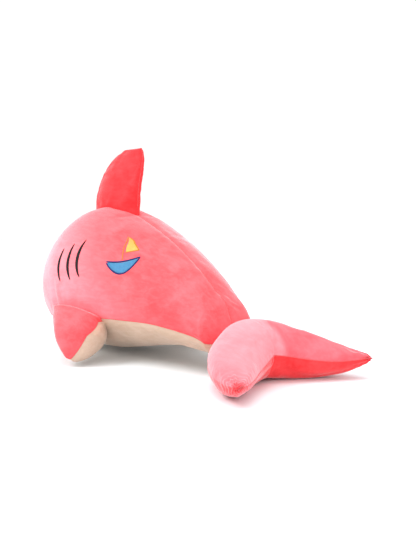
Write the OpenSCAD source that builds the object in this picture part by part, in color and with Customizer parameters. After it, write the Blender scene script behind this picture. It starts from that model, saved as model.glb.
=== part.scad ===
// Plush shark: a velour skin sewn from panels over a soft filling, with a dorsal fin,
// two pectoral fins and a crescent tail fin, each a small stuffed pad of its own.
// The nose points along -Y, the shark's left side is +X, and it lies on z = 0.

/* [Body] */
// Length from the nose to the tail root
body_length = 480; // [460:5:500]
// Width at the fullest point
body_width = 252; // [230:2:260]
// Height of the back above the ground
back_height = 257; // [240:1:270]
// Height of the chest above the ground
chest_height = 9; // [4:1:12]
// Angle of each belly seam, measured at the body's axis from straight down
belly_angle = 67; // [55:1:75]

/* [Fabric and filling] */
// Thickness of the velour skin
skin = 1.5; // [1:0.1:2]
// Depth below the surface at which the filling starts
filling_depth = 1.9; // [1.6:0.1:2.5]
// Radius of a seam thread
thread = 0.6; // [0.4:0.1:0.8]

/* [Dorsal fin] */
// Height of the fin above its hinge line
dorsal_height = 98; // [90:1:110]
// Length of the fin along the back at its root
dorsal_chord = 130; // [100:1:134]
// Thickness of the fin at its fullest
dorsal_thickness = 50; // [30:1:54]

/* [Pectoral fins] */
// Distance from the root to the tip, measured outward
pectoral_reach = 47; // [42:1:55]
// Distance from the root to the tip, measured downward
pectoral_drop = 59; // [55:1:66]
// Distance by which the tip trails behind the root
pectoral_sweep = 31; // [20:1:38]
// Length of the fin along its root
pectoral_chord = 122; // [100:1:124]
// Thickness of the fin at its fullest
pectoral_thickness = 90; // [76:1:92]

/* [Tail fin] */
// Distance from tip to tip
tail_span = 276; // [240:2:290]
// Distance by which the tips trail behind the middle
tail_sweep = 123; // [100:0.5:140]
// Front to back length of each lobe at its fullest
tail_chord = 102; // [90:1:110]
// Thickness of each lobe at its fullest
tail_thickness = 88; // [74:1:90]

/* [Face] */
// Diameter of each eye
eye_diameter = 14; // [10:1:18]

/* [Hidden] */

pink = [0.98, 0.45, 0.48];
deep_pink = [0.93, 0.33, 0.36];
cream = [0.93, 0.82, 0.70];
filling = [0.96, 0.96, 0.94];
black_thread = [0.08, 0.07, 0.08];
navy_thread = [0.10, 0.13, 0.30];
blue_thread = [0.27, 0.58, 0.78];
yellow_thread = [0.96, 0.80, 0.35];
ochre_thread = [0.78, 0.56, 0.22];

nose_y = -320;
middle_height = 114;
thread_sides = 6;
thread_lift = 0.1;

// Body profile: along the body, then heights of the top and the bottom above the
// nose's level, the half width, and the height of the widest line. Each is a share
// of the length, of the back's or chest's distance from the nose's level, or of the
// half width.
profile = [
    [0.000, 0.00, 0.00, 0.00, 0.00],
    [0.046, 0.37, 0.52, 0.51, 0.00],
    [0.146, 0.72, 0.86, 0.83, 0.02],
    [0.292, 0.98, 0.98, 1.00, 0.05],
    [0.438, 1.00, 1.00, 0.98, 0.05],
    [0.604, 0.78, 0.87, 0.86, 0.00],
    [0.771, 0.46, 0.77, 0.67, -0.09],
    [0.917, 0.085, 0.81, 0.48, -0.26],
    [0.967, -0.08, 0.84, 0.38, -0.35],
    [1.000, -0.42, 0.56, 0.00, -0.42]
];

body_rings = 22;
side_columns = 9;
belly_columns = 6;
body_columns = 2 * side_columns + belly_columns;
fin_columns = 16;

// The line that the dorsal fin bends about, just clear of the back
dorsal_hinge = [0, -154, 259];
dorsal_tilt = 6;
dorsal_root_gap = 3;
dorsal_lean = 64;
dorsal_dip = 8;

// The line that the left pectoral fin flaps about, just outside its seam
pectoral_hinge = [116, -93, 73];
pectoral_toe_in = 8;
pectoral_root_gap = 4;
pectoral_flare = 20;
pectoral_rear_root = 0.68;

// The point that the tail fin wags and lifts about
tail_pivot = [0, 164, 44];
tail_middle_y = 196;
tail_neck = 0.5;
tail_setback = 11;
tail_tip_height = 31;
root_ring_radius = 9;
root_thread = 1.2;

eye_position = [-284, 138];

// ---- general functions ----

function shrink(r, d) = d == 0 || r <= 0 ? r : r * r / (r + d);
function signed_power(v, p) = sign(v) * pow(abs(v), p);
function unit(v) = v / norm(v);
function square_off(v, k) = v - (v * k) * k;
function lerp(a, b, f) = a + (b - a) * f;

// A path moved sideways by d, square to itself and to the direction across
function beside(path, across, d) = let (last = len(path) - 1)
    [for (i = [0 : last])
        let (ahead = unit(path[min(i, last - 1) + 1] - path[min(i, last - 1)]),
             behind = unit(path[max(i, 1)] - path[max(i, 1) - 1]),
             run = unit(ahead + behind))
        path[i] + d / max(0.4, run * ahead) * unit(cross(across, run))];

// Smooth curve through the rows of a table, with t from 0 to 1 along it
function spline(rows, t) =
    let (last = len(rows) - 1, k = min(floor(t * last), last - 1), f = t * last - k,
         b = rows[k], c = rows[k + 1],
         a = k == 0 ? pole_row(b, c) : rows[k - 1],
         d = k == last - 1 ? pole_row(c, b) : rows[k + 2])
    0.5 * (2 * b + (c - a) * f + (2 * a - 5 * b + 4 * c - d) * f * f
           + (3 * b - 3 * c + d - a) * f * f * f);

// The row beyond a pole: the profile carried over to the far side of the axis
function pole_row(pole, row) = [row[0], 2 * pole[1] - row[1], 2 * pole[2] - row[2],
                                -row[3], row[4]];

// ---- body ----

sized_profile = [for (r = profile) [
    r[0] * body_length,
    middle_height + r[1] * (back_height - middle_height),
    middle_height - r[2] * (middle_height - chest_height),
    r[3] * body_width / 2,
    middle_height + r[4] * (middle_height - chest_height)
]];

// The belly panel narrows towards the chin and towards the tail
chin_narrowing = 30;
tail_narrowing = 14;
function belly_half_angle(t) = belly_angle
    - tail_narrowing * pow(max(0, t - 0.75) / 0.25, 1.5)
    - chin_narrowing * max(0, 0.3 - t) / 0.3;

// The sections are full below, and above they grow more pointed towards the tail
function section_power(t, above) = above ? 2.1 - 0.4 * min(1, max(0, t - 0.45) / 0.4) : 2.2;

// Angle of a column of the skin: the back is 90, the left side 0, the belly -90
function column_angle(t, c) =
    let (h = belly_half_angle(t), seam = h - 90)
    c <= side_columns ? 90 + (seam - 90) * c / side_columns
    : c <= side_columns + belly_columns
    ? seam - 2 * h * (c - side_columns) / belly_columns
    : seam - 2 * h
      + (-270 - seam + 2 * h) * (c - side_columns - belly_columns) / side_columns;

function body_at_angle(t, angle, d) =
    let (row = spline(sized_profile, t), x = cos(angle), z = sin(angle),
         e = 2 / section_power(t, z > 0),
         reach = z > 0 ? row[1] - row[4] : row[4] - row[2])
    [shrink(row[3], d) * signed_power(x, e),
     nose_y + d + row[0] * (body_length - 2 * d) / body_length,
     row[4] + shrink(reach, d) * signed_power(z, e)];

body_form = function(t, c, d) body_at_angle(t, column_angle(t, c), d);
body_ts = [for (i = [1 : body_rings - 1]) i / body_rings];

// Share of the profile table at which the body reaches a given y, found by halving
function share_at(y, lo = 0, hi = 1, steps = 22) =
    let (mid = (lo + hi) / 2)
    steps == 0 ? mid
    : nose_y + spline(sized_profile, mid)[0] < y ? share_at(y, mid, hi, steps - 1)
    : share_at(y, lo, mid, steps - 1);

function flank_x(y, z) =
    let (t = share_at(y), row = spline(sized_profile, t),
         power = section_power(t, z > row[4]),
         reach = z > row[4] ? row[1] - row[4] : row[4] - row[2],
         h = min(0.999, abs(z - row[4]) / reach))
    row[3] * pow(1 - pow(h, power), 1 / power);

// A point on the left flank at a given y and z, lifted off the skin
function flank(y, z, lift) =
    let (x = flank_x(y, z),
         along = [flank_x(y + 1, z) - x, 1, 0], up = [flank_x(y, z + 1) - x, 0, 1])
    [x, y, z] + lift * unit(cross(along, up));

// ---- solids built from a form ----
// A form is a function of t along the piece, a column number across it and a
// depth below the skin. Rings at the given ts are closed by a pole at each end.

// The middle of a ring: halfway between its two widest sides
function pole(form, t, d, columns) =
    (form(t, columns / 4, d) + form(t, 3 * columns / 4, d)) / 2;

function sheet_points(form, ts, c0, c1, d, columns) = concat(
    [pole(form, 0, d, columns)],
    [for (t = ts) for (c = [c0 : c1]) form(t, c % columns, d)],
    [pole(form, 1, d, columns)]);

// Triangles of one sheet: fans at the poles and split quads between the rings
function sheet_faces(rings, across, base) = let (w = across + 1) concat(
    [for (j = [0 : across - 1]) [base, base + 1 + j, base + 2 + j]],
    [for (i = [0 : rings - 2]) for (j = [0 : across - 1])
        let (p = base + 1 + i * w + j) each [[p, p + w, p + 1], [p + 1, p + w, p + w + 1]]],
    [for (j = [0 : across - 1]) let (p = base + 1 + (rings - 1) * w + j)
        [p, base + 1 + rings * w, p + 1]]);

function reversed(faces) = [for (f = faces) [f[0], f[2], f[1]]];

// Indices down one long edge of a sheet, from pole to pole
function edge_line(rings, across, base, side) = concat(
    [base], [for (i = [0 : rings - 1]) base + 1 + i * (across + 1) + side * across],
    [base + 1 + rings * (across + 1)]);

function edge_wall(a, b) = [for (i = [0 : len(a) - 2]) each
    [[a[i], a[i + 1], b[i]], [b[i], a[i + 1], b[i + 1]]]];

// A panel of skin between two columns
module panel(form, ts, c0, c1, columns) {
    across = c1 - c0;
    rings = len(ts);
    inner = 2 + rings * (across + 1);
    polyhedron(
        concat(sheet_points(form, ts, c0, c1, 0, columns),
               sheet_points(form, ts, c0, c1, skin, columns)),
        concat(reversed(sheet_faces(rings, across, 0)), sheet_faces(rings, across, inner),
               edge_wall(edge_line(rings, across, 0, 0), edge_line(rings, across, inner, 0)),
               reversed(edge_wall(edge_line(rings, across, 0, 1),
                                  edge_line(rings, across, inner, 1)))));
}

// The filling under the whole of a skin
module stuffing(form, ts, columns) {
    rings = len(ts);
    last = 1 + rings * columns;
    polyhedron(
        concat([pole(form, 0, filling_depth, columns)],
               [for (t = ts) for (c = [0 : columns - 1]) form(t, c, filling_depth)],
               [pole(form, 1, filling_depth, columns)]),
        concat(
            [for (c = [0 : columns - 1]) [0, 1 + (c + 1) % columns, 1 + c]],
            [for (i = [0 : rings - 2]) for (c = [0 : columns - 1])
                let (p = 1 + i * columns + c, q = 1 + i * columns + (c + 1) % columns)
                each [[p, q, p + columns], [q, q + columns, p + columns]]],
            [for (c = [0 : columns - 1])
                let (p = last - columns + c, q = last - columns + (c + 1) % columns)
                [p, q, last]]));
}

// A round strand along a list of points, with its radius at each
module strand(path, radii, up) {
    n = len(path);
    last = n * thread_sides;
    rings = [for (i = [0 : n - 1])
        let (run = unit(path[min(i + 1, n - 1)] - path[max(i - 1, 0)]),
             a = unit(square_off(up, run)), b = cross(run, a))
        for (k = [0 : thread_sides - 1])
            let (w = 360 * k / thread_sides) path[i] + radii[i] * (a * cos(w) + b * sin(w))];
    polyhedron(
        concat(rings, [path[0], path[n - 1]]),
        concat(
            [for (k = [0 : thread_sides - 1]) [last, k, (k + 1) % thread_sides]],
            [for (i = [0 : n - 2]) for (k = [0 : thread_sides - 1])
                let (p = i * thread_sides + k,
                     q = i * thread_sides + (k + 1) % thread_sides)
                each [[p, p + thread_sides, q], [q, p + thread_sides, q + thread_sides]]],
            [for (k = [0 : thread_sides - 1])
                let (p = (n - 1) * thread_sides)
                [last + 1, p + (k + 1) % thread_sides, p + k]]));
}

// A seam thread lying on the body along one column, square to the skin
module body_seam(c, up) {
    edge = [for (t = body_ts) body_form(t, c, 0)];
    last = len(edge) - 1;
    path = [for (i = [0 : last])
        let (run = unit(edge[min(i + 1, last)] - edge[max(i - 1, 0)]),
             middle = pole(body_form, body_ts[i], 0, body_columns))
        edge[i] + (thread + thread_lift) * unit(square_off(edge[i] - middle, run))];
    strand(path, [for (t = body_ts) thread], up);
}

// ---- dorsal fin, in the frame of its hinge line ----

function dorsal_half(t) = dorsal_chord / 2 * (1 - 0.6 * pow(t, 4));
function dorsal_thick(t) = dorsal_thickness / 2 * (0.16 + 0.84 * sin(90 * min(1, t / 0.35)))
    * (1 - 0.42 * t) * sqrt(max(0.02, 1 - pow(t, 8)));

dorsal_form = function(t, c, d)
    let (a = 360 * c / fin_columns,
         s = t + (1 - 2 * t) * d / dorsal_height,
         dip = dorsal_dip * pow(1 - s, 3) * pow(cos(a), 2))
    [shrink(dorsal_thick(s), d) * sin(a),
     dorsal_lean * s * s + shrink(dorsal_half(s), d) * cos(a),
     dorsal_root_gap + (dorsal_height - dorsal_root_gap) * s - dip
     - 0.1 * s * s * dorsal_half(s) * cos(a)];
dorsal_ts = [0, 0.06, 0.14, 0.24, 0.36, 0.50, 0.64, 0.76, 0.86, 0.94, 1];

module at_dorsal() translate(dorsal_hinge) rotate([dorsal_tilt, 0, 0]) children();

// ---- pectoral fin, in the frame of the left fin's hinge line ----

pectoral_run = unit([pectoral_reach, pectoral_sweep, -pectoral_drop]);
pectoral_along = unit([sin(pectoral_flare), cos(pectoral_flare), 0]);
pectoral_out = unit(cross(pectoral_run, pectoral_along));

// The under side, where a is over 180, is the fuller one
pectoral_form = function(t, c, d)
    let (a = 360 * c / fin_columns,
         s = t + (1 - 2 * t) * d / pectoral_drop,
         half = pectoral_chord / 2 * pow(max(0, 1 - pow(s, 1.7)), 0.8)
                * (cos(a) > 0 ? lerp(pectoral_rear_root, 1, sin(90 * min(1, s / 0.3))) : 1),
         thick = pectoral_thickness / 2 * (0.1 + 0.9 * sin(90 * min(1, s / 0.45)))
                 * pow(max(0, 1 - s * s), 0.55) * (a > 180 ? 1.2 : 1))
    pectoral_root_gap * unit([1, 0, -0.8])
    + s * [pectoral_reach, pectoral_sweep, -pectoral_drop] + [0, 0, 3 * sin(180 * s)]
    + shrink(half, d) * cos(a) * lerp([0, 1, 0], pectoral_along, min(1, s / 0.35))
    + shrink(thick, d) * sin(a) * pectoral_out;
pectoral_ts = [0, 0.07, 0.16, 0.28, 0.42, 0.56, 0.70, 0.82, 0.92, 0.975];

module at_pectoral_left() translate(pectoral_hinge) rotate([0, 0, pectoral_toe_in]) children();
module at_pectoral_right() mirror([1, 0, 0]) at_pectoral_left() children();

// ---- tail fin ----

function tail_fullness(s) = pow(max(0, 1 - pow(abs(s), 1.7)), 0.75);
function tail_pinch(s) = pow(max(0, 1 - pow(s / tail_neck, 2)), 2);
function tail_line(s) = [
    -tail_span / 2 * s,
    tail_middle_y + tail_sweep * pow(abs(s), 1.5) + tail_setback * tail_pinch(s),
    tail_thickness / 2 * tail_fullness(s) + tail_tip_height * pow(abs(s), 5.5)];

function tail_run(s) = unit(tail_line(min(1, s + 0.01)) - tail_line(max(-1, s - 0.01)));
function tail_across(s) = let (run = tail_run(s)) unit([run[1], -run[0], 0]);
tail_form = function(t, c, d)
    let (a = 360 * c / fin_columns,
         s = (2 * t - 1) * (1 - d / (tail_span / 2)),
         half = tail_chord / 2 * tail_fullness(s) - 12 * tail_pinch(s))
    tail_line(s) + shrink(half, d) * cos(a) * tail_across(s)
    + [0, 0, shrink(tail_thickness / 2 * tail_fullness(s), d) * sin(a)];
tail_ts = [for (i = [1 : 25]) 0.5 - 0.5 * cos(180 * i / 26)];

// ---- skin, filling and seams ----

module body_side_left() color(pink) panel(body_form, body_ts, 0, side_columns, body_columns);
module belly_panel() color(cream)
    panel(body_form, body_ts, side_columns, side_columns + belly_columns, body_columns);
module body_side_right() color(pink)
    panel(body_form, body_ts, side_columns + belly_columns, body_columns, body_columns);
module body_stuffing() color(filling) stuffing(body_form, body_ts, body_columns);

module back_seam() color(deep_pink) body_seam(0, [1, 0, 0]);
module belly_seam_left() color(deep_pink) body_seam(side_columns, [0, 0, 1]);
module belly_seam_right() mirror([1, 0, 0]) belly_seam_left();

module dorsal_left() color(pink) at_dorsal()
    panel(dorsal_form, dorsal_ts, 0, fin_columns / 2, fin_columns);
module dorsal_right() color(pink) at_dorsal()
    panel(dorsal_form, dorsal_ts, fin_columns / 2, fin_columns, fin_columns);
module dorsal_stuffing() color(filling) at_dorsal()
    stuffing(dorsal_form, dorsal_ts, fin_columns);

// The fin's seam runs up its leading edge, over the top and down its trailing edge
module dorsal_seam() color(deep_pink) at_dorsal() {
    edge = concat(
        [for (t = dorsal_ts) dorsal_form(t, fin_columns / 2, 0)],
        [for (i = [1 : len(dorsal_ts)]) dorsal_form(dorsal_ts[len(dorsal_ts) - i], 0, 0)]);
    strand(beside(edge, [1, 0, 0], thread + thread_lift), [for (p = edge) thread],
           [1, 0, 0]);
}

module pectoral_top() color(pink)
    panel(pectoral_form, pectoral_ts, 0, fin_columns / 2, fin_columns);
module pectoral_under() color(cream)
    panel(pectoral_form, pectoral_ts, fin_columns / 2, fin_columns, fin_columns);
module pectoral_stuffing() color(filling)
    stuffing(pectoral_form, pectoral_ts, fin_columns);

// The fin's seam runs out along its front edge, round the tip and back to the body
module pectoral_seam() color(deep_pink) {
    last = len(pectoral_ts) - 1;
    edge = concat(
        [for (i = [1 : last]) pectoral_form(pectoral_ts[i], fin_columns / 2, 0)],
        [pectoral_form(1, 0, 0)],
        [for (i = [0 : last - 3]) pectoral_form(pectoral_ts[last - i], 0, 0)]);
    strand(beside(edge, -pectoral_out, thread + thread_lift), [for (p = edge) thread],
           pectoral_out);
}

module pectoral_left_top() at_pectoral_left() pectoral_top();
module pectoral_left_under() at_pectoral_left() pectoral_under();
module pectoral_left_stuffing() at_pectoral_left() pectoral_stuffing();
module pectoral_left_seam() at_pectoral_left() pectoral_seam();
module pectoral_right_top() at_pectoral_right() pectoral_top();
module pectoral_right_under() at_pectoral_right() pectoral_under();
module pectoral_right_stuffing() at_pectoral_right() pectoral_stuffing();
module pectoral_right_seam() at_pectoral_right() pectoral_seam();

module tail_top() color(pink)
    panel(tail_form, tail_ts, 0, fin_columns / 2, fin_columns);
module tail_under() color(pink)
    panel(tail_form, tail_ts, fin_columns / 2, fin_columns, fin_columns);
module tail_stuffing() color(filling) stuffing(tail_form, tail_ts, fin_columns);

// The tail's edge seam, once round the crescent from tip to tip and back
module tail_seam() color(deep_pink) {
    n = len(tail_ts);
    edge = concat([for (t = tail_ts) tail_form(t, 0, 0)], [tail_form(1, 0, 0)],
                  [for (i = [1 : n]) tail_form(tail_ts[n - i], fin_columns / 2, 0)]);
    strand(beside(edge, [0, 0, -1], thread + thread_lift), [for (p = edge) thread],
           [0, 0, 1]);
}

// The gathering stitch that closes the tail's neck onto the body
module tail_root_seam() color(deep_pink) translate(tail_pivot) rotate([90, 0, 0])
    rotate_extrude($fn = 48) translate([root_ring_radius, 0]) circle(r = root_thread, $fn = 24);

// ---- embroidery ----

// A patch of embroidery on the left flank, between a lower and an upper line. Each
// line is a function of f, from 0 at the front to 1 at the rear, that gives [y, z].
patch_low = 0.1;
patch_high = 0.9;
patch_steps = 10;
module patch(lower, upper) {
    rows = 4;
    function at(i, j, lift) =
        let (f = i / patch_steps, p = lerp(lower(f), upper(f), j / rows))
        flank(p[0], p[1], lift);
    w = rows + 1;
    sheet = w * (patch_steps + 1);
    function faces(base) = [for (i = [0 : patch_steps - 1]) for (j = [0 : rows - 1])
        let (p = base + i * w + j) each [[p, p + w, p + 1], [p + 1, p + w, p + w + 1]]];
    rim = concat([for (i = [0 : patch_steps]) i * w],
                 [for (j = [1 : rows]) patch_steps * w + j],
                 [for (i = [1 : patch_steps]) (patch_steps - i) * w + rows],
                 [for (j = [1 : rows - 1]) rows - j]);
    polyhedron(
        concat([for (i = [0 : patch_steps]) for (j = [0 : rows]) at(i, j, patch_high)],
               [for (i = [0 : patch_steps]) for (j = [0 : rows]) at(i, j, patch_low)]),
        concat(faces(0), reversed(faces(sheet)),
               [for (k = [0 : len(rim) - 1])
                   let (p = rim[k], q = rim[(k + 1) % len(rim)])
                   each [[p, p + sheet, q], [q, p + sheet, q + sheet]]]));
}

gill_half_width = 4.4;
gill_bow = 8;

// One gill stitch: a bowed band of satin stitch, widest in the middle
module gill(top, bottom) {
    half = function(f) gill_half_width * (0.15 + 0.85 * sin(180 * f));
    path = function(f) lerp(top, bottom, f) - [gill_bow * sin(180 * f), 0];
    color(black_thread) patch(function(f) path(f) - [half(f), 0],
                              function(f) path(f) + [half(f), 0]);
}

gill_tops = [[-149, 189], [-125, 198], [-102, 205]];
gill_bottoms = [[-140, 131], [-112, 135], [-90, 141]];

module gill_at(k) gill(gill_tops[k], gill_bottoms[k]);
module gill_left_front() gill_at(0);
module gill_left_middle() gill_at(1);
module gill_left_rear() gill_at(2);
module gill_right_front() mirror([1, 0, 0]) gill_at(0);
module gill_right_middle() mirror([1, 0, 0]) gill_at(1);
module gill_right_rear() mirror([1, 0, 0]) gill_at(2);

// The boat is laid out flat, p forward to rear and q upward, from the hull's front end
boat_origin = [-42, 169];
boat_p = [0.84, 0.14];
boat_q = [-0.38, 0.84];
function on_flank(point) = boat_origin + point[0] * boat_p + point[1] * boat_q;

hull_length = 58;
hull_depth = 25;
hull_sheer = 4;
hull_fullness = 0.8;
hull_inset = 0.1;
function hull_line(f, sag) = on_flank([hull_length * f, -sag * pow(sin(180 * f), hull_fullness)]);
hull_deck = function(f) hull_line(lerp(hull_inset, 1 - hull_inset, f), hull_sheer);
hull_keel = function(f) hull_line(lerp(hull_inset, 1 - hull_inset, f), hull_depth);
module boat_hull() color(blue_thread) patch(hull_keel, hull_deck);

outline_radius = 0.9;
module flank_line(points, radius) strand([for (p = points) flank(p[0], p[1], radius + 0.1)],
    [for (p = points) radius], [1, 0, 0]);

// A satin line all round the hull, a little way off its edge
outline_clear = 2.4;
module boat_outline() color(navy_thread) {
    steps = 12;
    keel = [for (i = [0 : steps]) hull_line(i / steps, hull_depth) - [0, outline_clear]];
    deck = [for (i = [1 : steps - 1]) hull_line(1 - i / steps, hull_sheer)
            + [0, outline_clear]];
    flank_line(concat(keel, deck, [keel[0] + [0, 2 * outline_clear]]), outline_radius);
}

mast_foot = [32.5, 0.5];
mast_head = [31, 45];
module boat_mast() color(ochre_thread)
    flank_line([for (i = [0 : 6]) on_flank(lerp(mast_foot, mast_head, i / 6))], 0.7);

sail_peak = [32.6, 41];
sail_tack = [34.4, 14.5];
sail_clew = [52.5, 17];
sail_luff = function(f) on_flank(lerp(sail_tack, sail_peak, f));
sail_leech = function(f) on_flank(lerp(sail_clew, sail_peak + [0.8, 0], f));
module boat_sail() color(yellow_thread) patch(sail_leech, sail_luff);

// A satin line along the foot of the sail and up its rear edge
edge_clear = 2.2;
module boat_sail_edge() color(ochre_thread)
    flank_line(concat(
        [for (i = [0 : 4]) on_flank(lerp(sail_tack, sail_clew, i / 4) - [0, edge_clear])],
        [for (i = [0 : 6]) on_flank(lerp(sail_clew, sail_peak + [0.8, 0], i / 6)
                                    + [edge_clear, 0])]),
        0.7);

// ---- face ----

eye_aim = unit(flank(eye_position[0], eye_position[1], 1)
               - flank(eye_position[0], eye_position[1], 0));
eye_turn = [0, acos(eye_aim[2]), atan2(eye_aim[1], eye_aim[0])];
eye_dome = 4;

module at_eye() translate(flank(eye_position[0], eye_position[1], 0.3)) rotate(eye_turn)
    children();
// A low dome, flat where it is sewn to the skin
module eye() color(black_thread) at_eye() rotate_extrude($fn = 48)
    polygon(concat([[0, 0]], [for (a = [0 : 6 : 90])
        [eye_diameter / 2 * cos(a), eye_dome * sin(a)]]));
module eye_left() eye();
module eye_right() mirror([1, 0, 0]) eye();

// The mouth: one stitched line under the snout, from corner to corner
// and over the two belly seams
mouth_corner_angle = 82;
mouth_hop = 1.4;
mouth_hop_angle = 8;
module mouth_line() color(black_thread) {
    steps = 44;
    path = [for (i = [0 : steps])
        let (k = 2 * i / steps - 1, t = 0.10 + 0.09 * k * k, turn = mouth_corner_angle * k,
             p = body_at_angle(t, -90 + turn, 0),
             row = spline(sized_profile, t),
             hop = exp(-pow((abs(turn) - belly_half_angle(t)) / mouth_hop_angle, 2)))
        p + (1.1 + mouth_hop * hop) * unit(p - [0, p[1] + 30, row[4]])];
    strand(path, [for (i = [0 : steps]) 0.9], [0, -1, 0.5]);
}

body_side_left();
body_side_right();
belly_panel();
body_stuffing();
back_seam();
belly_seam_left();
belly_seam_right();
gill_left_front();
gill_left_middle();
gill_left_rear();
gill_right_front();
gill_right_middle();
gill_right_rear();
boat_hull();
boat_outline();
boat_mast();
boat_sail();
boat_sail_edge();
eye_left();
eye_right();
mouth_line();
dorsal_left();
dorsal_right();
dorsal_stuffing();
dorsal_seam();
pectoral_left_top();
pectoral_left_under();
pectoral_left_stuffing();
pectoral_left_seam();
pectoral_right_top();
pectoral_right_under();
pectoral_right_stuffing();
pectoral_right_seam();
tail_root_seam();
tail_top();
tail_under();
tail_stuffing();
tail_seam();
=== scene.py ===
import math
import bmesh
import bpy
import numpy as np
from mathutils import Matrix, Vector


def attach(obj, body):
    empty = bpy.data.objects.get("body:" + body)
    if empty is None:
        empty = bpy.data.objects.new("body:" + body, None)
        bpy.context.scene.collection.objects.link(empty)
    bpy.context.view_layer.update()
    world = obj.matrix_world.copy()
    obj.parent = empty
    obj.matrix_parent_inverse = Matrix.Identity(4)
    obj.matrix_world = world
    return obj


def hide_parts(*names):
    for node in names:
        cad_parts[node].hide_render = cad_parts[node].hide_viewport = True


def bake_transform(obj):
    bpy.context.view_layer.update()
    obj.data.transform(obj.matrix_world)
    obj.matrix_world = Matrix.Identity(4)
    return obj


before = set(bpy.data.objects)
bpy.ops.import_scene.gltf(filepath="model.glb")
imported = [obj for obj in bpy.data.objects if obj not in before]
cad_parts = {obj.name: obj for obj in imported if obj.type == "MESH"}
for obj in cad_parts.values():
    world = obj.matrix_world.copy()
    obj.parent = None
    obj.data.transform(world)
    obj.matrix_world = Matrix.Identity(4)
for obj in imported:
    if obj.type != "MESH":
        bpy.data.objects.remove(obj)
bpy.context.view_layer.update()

print("frame loaded")


def smooth(x, low, high):
    # 0 below low, 1 above high, an S curve between
    f = np.clip((np.asarray(x, float) - low) / (high - low), 0, 1)
    return f * f * (3 - 2 * f)


def unitRows(v):
    return v / np.maximum(np.linalg.norm(v, axis=-1, keepdims=True), 1e-12)


def curveThrough(rows, t):
    # Catmull-Rom curve through the rows of a table, t from 0 to 1 along it
    rows = np.asarray(rows, float)

    def beyond(end, inner):
        # an extra row past an end: the heights carry on and the half width is mirrored
        return [end[0], 2 * end[1] - inner[1], 2 * end[2] - inner[2], -inner[3], inner[4]]

    p = np.vstack([beyond(rows[0], rows[1]), rows, beyond(rows[-1], rows[-2])])
    n = len(rows) - 1
    k = np.minimum((t * n).astype(int), n - 1)
    f = (t * n - k)[..., None]
    a, b, c, d = p[k], p[k + 1], p[k + 2], p[k + 3]
    return 0.5 * (2 * b + (c - a) * f + (2 * a - 5 * b + 4 * c - d) * f ** 2
                  + (3 * b - 3 * c + d - a) * f ** 3)


noiseLook = {"waves": 5, "finer": 1.9, "weaker": 0.5, "bend": 1.3, "bendRate": 0.7, "spread": 0.7}


def softNoise(points, size, seed, octaves):
    # smooth pseudo-random field: a sum of sine waves in turned directions, about -1..1, each
    # wave's crests bent by another wave
    rng = np.random.default_rng(seed)
    total, weight = 0.0, 0.0
    for octave in range(octaves):
        for _ in range(noiseLook["waves"]):
            way = unitRows(rng.normal(size=3))
            bend = unitRows(rng.normal(size=3))
            k = 2 * math.pi / (size / noiseLook["finer"] ** octave)
            phase = rng.uniform(0, 2 * math.pi, 2)
            share = noiseLook["weaker"] ** octave
            bent = noiseLook["bend"] * np.sin(noiseLook["bendRate"] * k * points @ bend + phase[1])
            total = total + share * np.sin(k * points @ way + phase[0] + bent)
            weight += share * noiseLook["spread"]
    return total / weight


def gridNormals(grid, wrap=False):
    # across the rows times along the columns, unit length
    if wrap:
        across = np.roll(grid, -1, 1) - np.roll(grid, 1, 1)
    else:
        across = np.gradient(grid, axis=1)
    along = np.gradient(grid, axis=0)
    return unitRows(np.cross(across, along))


def meshObject(name, points, faces):
    mesh = bpy.data.meshes.new(name)
    mesh.from_pydata(points.tolist(), [], faces)
    mesh.update()
    piece = bpy.data.objects.new(name, mesh)
    bpy.context.scene.collection.objects.link(piece)
    return piece


def gridPiece(name, grid, material, wrapAcross=False, uv=True, merge=1e-6, flip=False):
    # a sheet of quads over a grid of points, its doubles merged where it closes; the UV map is
    # the mean distance across and along the cloth, in metres
    rows, columns = grid.shape[:2]
    i = np.arange(rows - 1)[:, None]
    j = np.arange(columns if wrapAcross else columns - 1)[None, :]
    nextJ = (j + 1) % columns
    quad = np.stack(np.broadcast_arrays(i * columns + j, i * columns + nextJ,
                                        (i + 1) * columns + nextJ, (i + 1) * columns + j), -1)
    faces = quad.reshape(-1, 4)
    if flip:
        faces = faces[:, ::-1]
    piece = meshObject(name, grid.reshape(-1, 3), faces.tolist())
    mesh = piece.data
    if uv:
        across = np.linalg.norm(np.diff(grid, axis=1), axis=-1).cumsum(1).mean(0)
        along = np.linalg.norm(np.diff(grid, axis=0), axis=-1).cumsum(0).mean(1)
        u = np.append(0, across)
        v = np.append(0, along)
        if wrapAcross:
            u = np.append(u, u[-1] + np.linalg.norm(grid[:, 0] - grid[:, -1], axis=-1).mean())
        corner = np.stack(np.broadcast_arrays(j + 0 * i, j + 1 + 0 * i, j + 1 + 0 * i, j + 0 * i), -1)
        level = np.stack(np.broadcast_arrays(i + 0 * j, i + 0 * j, i + 1 + 0 * j, i + 1 + 0 * j), -1)
        corner, level = corner.reshape(-1, 4), level.reshape(-1, 4)
        if flip:
            corner, level = corner[:, ::-1], level[:, ::-1]
        layer = mesh.uv_layers.new(name="cloth")
        layer.data.foreach_set("uv", np.stack([u[corner], v[level]], -1).ravel().astype(np.float32))
    build = bmesh.new()
    build.from_mesh(mesh)
    bmesh.ops.remove_doubles(build, verts=build.verts, dist=merge)
    bmesh.ops.dissolve_degenerate(build, edges=build.edges, dist=1e-7)
    build.to_mesh(mesh)
    build.free()
    mesh.polygons.foreach_set("use_smooth", np.ones(len(mesh.polygons), bool))
    mesh.materials.append(material)
    return piece


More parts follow.
